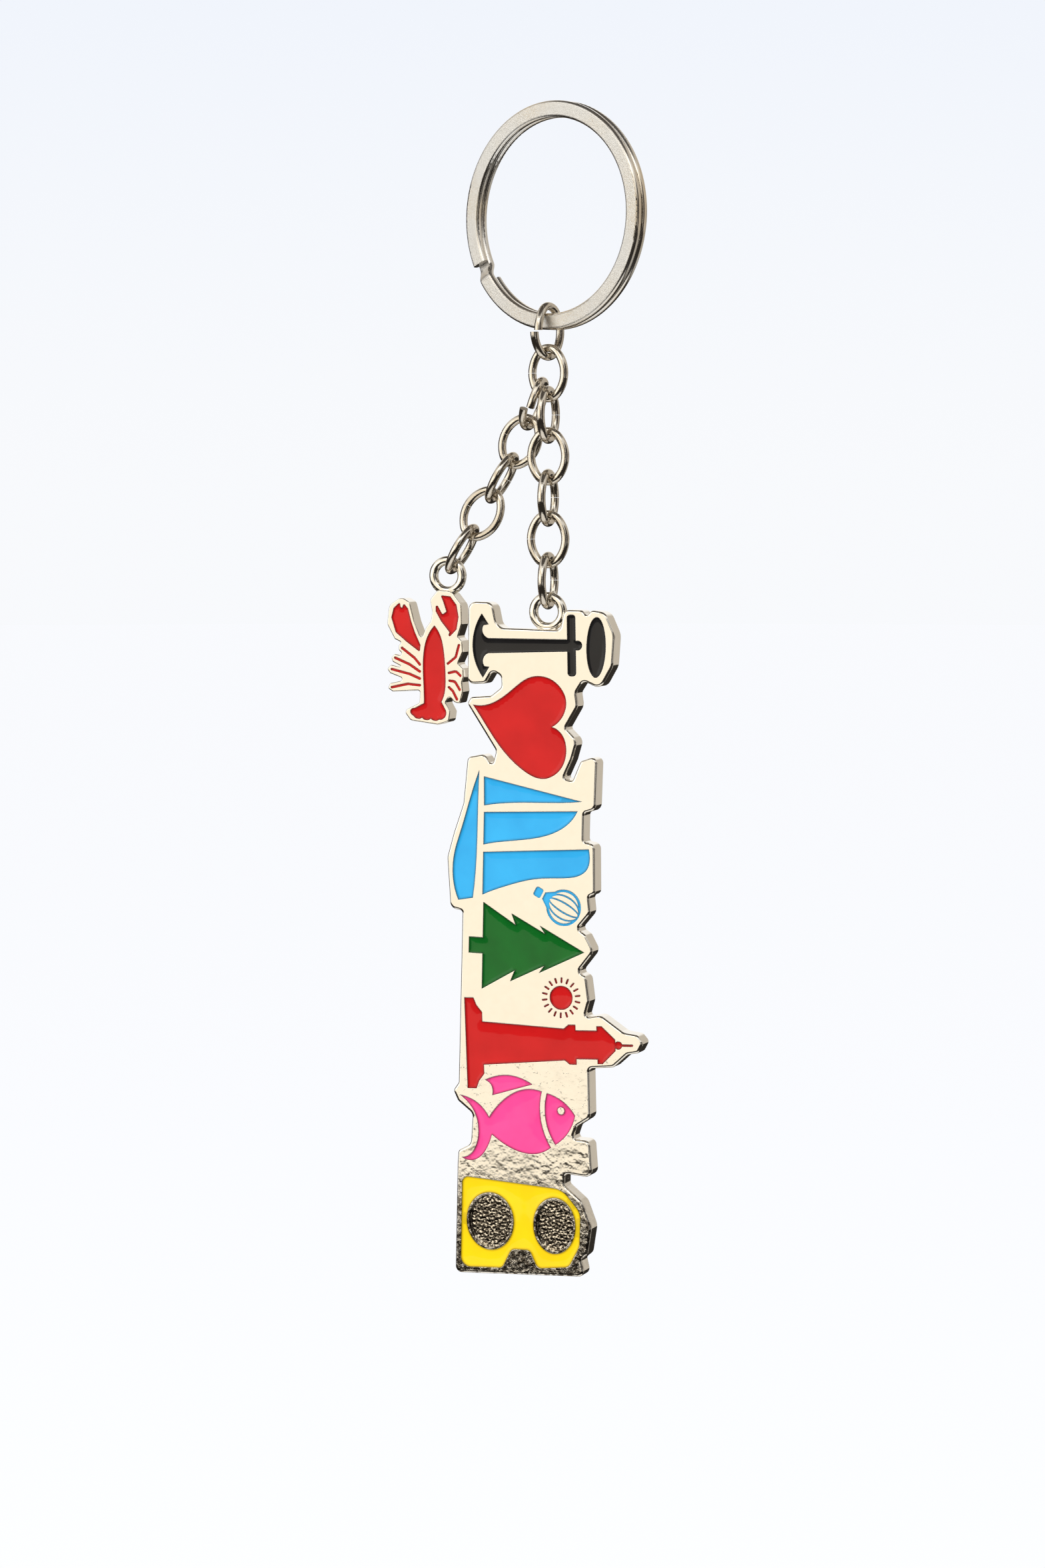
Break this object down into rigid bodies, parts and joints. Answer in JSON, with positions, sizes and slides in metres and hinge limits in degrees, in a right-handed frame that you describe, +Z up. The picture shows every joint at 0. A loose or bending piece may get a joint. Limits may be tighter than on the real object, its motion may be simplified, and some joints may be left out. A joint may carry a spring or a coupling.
{
  "type": "keychain",
  "caption": "Souvenir keychain: a coiled split ring and a chain of oval links carry a tall enamelled nautical plaque and a small enamelled lobster charm on a side branch.",
  "frame": {"origin": "the hang point: the place on the inner top of the split ring, straight above the chain, that rests on a hook or a finger", "axes": "+Z up, along the hanging chain and the plaque; -Y out of the plaque's enamelled face, so +Y points to its plain back; +X across the plaque, to the right as seen from the front"},
  "size_m": [0.0382, 0.012, 0.1575],
  "materials": {
    "ring_steel": "nickel-plated spring steel, brushed flat faces and polished edges",
    "chain_nickel": "polished nickel plating on round wire",
    "cast_nickel": "polished nickel plating on a zinc casting, with faint casting texture",
    "black_enamel": "glossy soft enamel",
    "red_enamel": "glossy soft enamel",
    "dark_red_enamel": "glossy soft enamel in narrow lines",
    "blue_enamel": "glossy soft enamel",
    "green_enamel": "glossy soft enamel",
    "pink_enamel": "glossy soft enamel",
    "yellow_enamel": "glossy soft enamel"
  },
  "bodies": {
    "ring": {"split_ring": "ring_steel"},
    "top_jump_link": {"top_jump_link": "chain_nickel"},
    "fork_link": {"fork_link": "chain_nickel"},
    "plaque_link_1": {"plaque_link_1": "chain_nickel"},
    "plaque_link_2": {"plaque_link_2": "chain_nickel"},
    "plaque_link_3": {"plaque_link_3": "chain_nickel"},
    "plaque_link_4": {"plaque_link_4": "chain_nickel"},
    "plaque_link_5": {"plaque_link_5": "chain_nickel"},
    "charm_jump_link": {"charm_jump_link": "chain_nickel"},
    "charm_link_1": {"charm_link_1": "chain_nickel"},
    "charm_link_2": {"charm_link_2": "chain_nickel"},
    "charm_link_3": {"charm_link_3": "chain_nickel"},
    "charm_link_4": {"charm_link_4": "chain_nickel"},
    "plaque": {"plaque_base": "cast_nickel", "anchor_enamel": "black_enamel", "float_enamel": "black_enamel", "heart_enamel": "red_enamel", "sailboat_enamel": "blue_enamel", "balloon_enamel": "blue_enamel", "pine_enamel": "green_enamel", "sun_enamel": "red_enamel", "sun_ray_enamel": "dark_red_enamel", "lighthouse_enamel": "red_enamel", "fish_enamel": "pink_enamel", "goggles_enamel": "yellow_enamel"},
    "lobster": {"lobster_base": "cast_nickel", "lobster_body_enamel": "red_enamel", "lobster_claw_enamel": "red_enamel", "lobster_leg_enamel": "red_enamel"}
  },
  "joints": [
    {"name": "top_jump_link_swing", "type": "hinge", "parent": "ring", "child": "top_jump_link", "pos_m": [0, 0, -0.0266], "axis": [0.9397, -0.342, 0], "range_deg": [-40, 40]},
    {"name": "fork_link_swing", "type": "hinge", "parent": "top_jump_link", "child": "fork_link", "pos_m": [0, 0, -0.03121], "axis": [-0.342, -0.9397, 0], "range_deg": [-40, 40]},
    {"name": "plaque_link_1_swing", "type": "hinge", "parent": "fork_link", "child": "plaque_link_1", "pos_m": [0, 0, -0.03671], "axis": [-0.9848, 0.1736, 0], "range_deg": [0, 40]},
    {"name": "plaque_link_2_swing", "type": "hinge", "parent": "plaque_link_1", "child": "plaque_link_2", "pos_m": [0, 0, -0.04221], "axis": [-0.0698, -0.9976, 0], "range_deg": [0, 30]},
    {"name": "plaque_link_3_swing", "type": "hinge", "parent": "plaque_link_2", "child": "plaque_link_3", "pos_m": [0, 0, -0.04771], "axis": [-0.9994, 0.0349, 0], "range_deg": [-45, 45]},
    {"name": "plaque_link_4_swing", "type": "hinge", "parent": "plaque_link_3", "child": "plaque_link_4", "pos_m": [0, 0, -0.05321], "axis": [-0.0175, -0.9998, 0], "range_deg": [0, 30]},
    {"name": "plaque_link_5_swing", "type": "hinge", "parent": "plaque_link_4", "child": "plaque_link_5", "pos_m": [0, 0, -0.05871], "axis": [1, 0, 0], "range_deg": [-45, 45]},
    {"name": "plaque_swing", "type": "hinge", "parent": "plaque_link_5", "child": "plaque", "pos_m": [0, 0, -0.06421], "axis": [0, -1, 0], "range_deg": [0, 45]},
    {"name": "charm_jump_link_swing", "type": "hinge", "parent": "fork_link", "child": "charm_jump_link", "pos_m": [-0.00214, 0.00038, -0.03486], "axis": [0.3609, -0.0636, -0.9304], "range_deg": [0, 30]},
    {"name": "charm_link_1_swing", "type": "hinge", "parent": "charm_jump_link", "child": "charm_link_1", "pos_m": [-0.00351, 0.00142, -0.04045], "axis": [0, 1, 0], "range_deg": [0, 25]},
    {"name": "charm_link_2_swing", "type": "hinge", "parent": "charm_link_1", "child": "charm_link_2", "pos_m": [-0.00604, 0.00142, -0.04534], "axis": [0.8829, 0, -0.4695], "range_deg": [-45, 45]},
    {"name": "charm_link_3_swing", "type": "hinge", "parent": "charm_link_2", "child": "charm_link_3", "pos_m": [-0.0086, 0.00075, -0.05016], "axis": [-0.0572, 0.9925, -0.1076], "range_deg": [0, 25]},
    {"name": "charm_link_4_swing", "type": "hinge", "parent": "charm_link_3", "child": "charm_link_4", "pos_m": [-0.01129, 0.00008, -0.05491], "axis": [-0.8639, 0.07, 0.4988], "range_deg": [-45, 45]},
    {"name": "lobster_swing", "type": "hinge", "parent": "charm_link_4", "child": "lobster", "pos_m": [-0.01404, 0.00008, -0.05967], "axis": [0, 1, 0], "range_deg": [0, 45]}
  ]
}
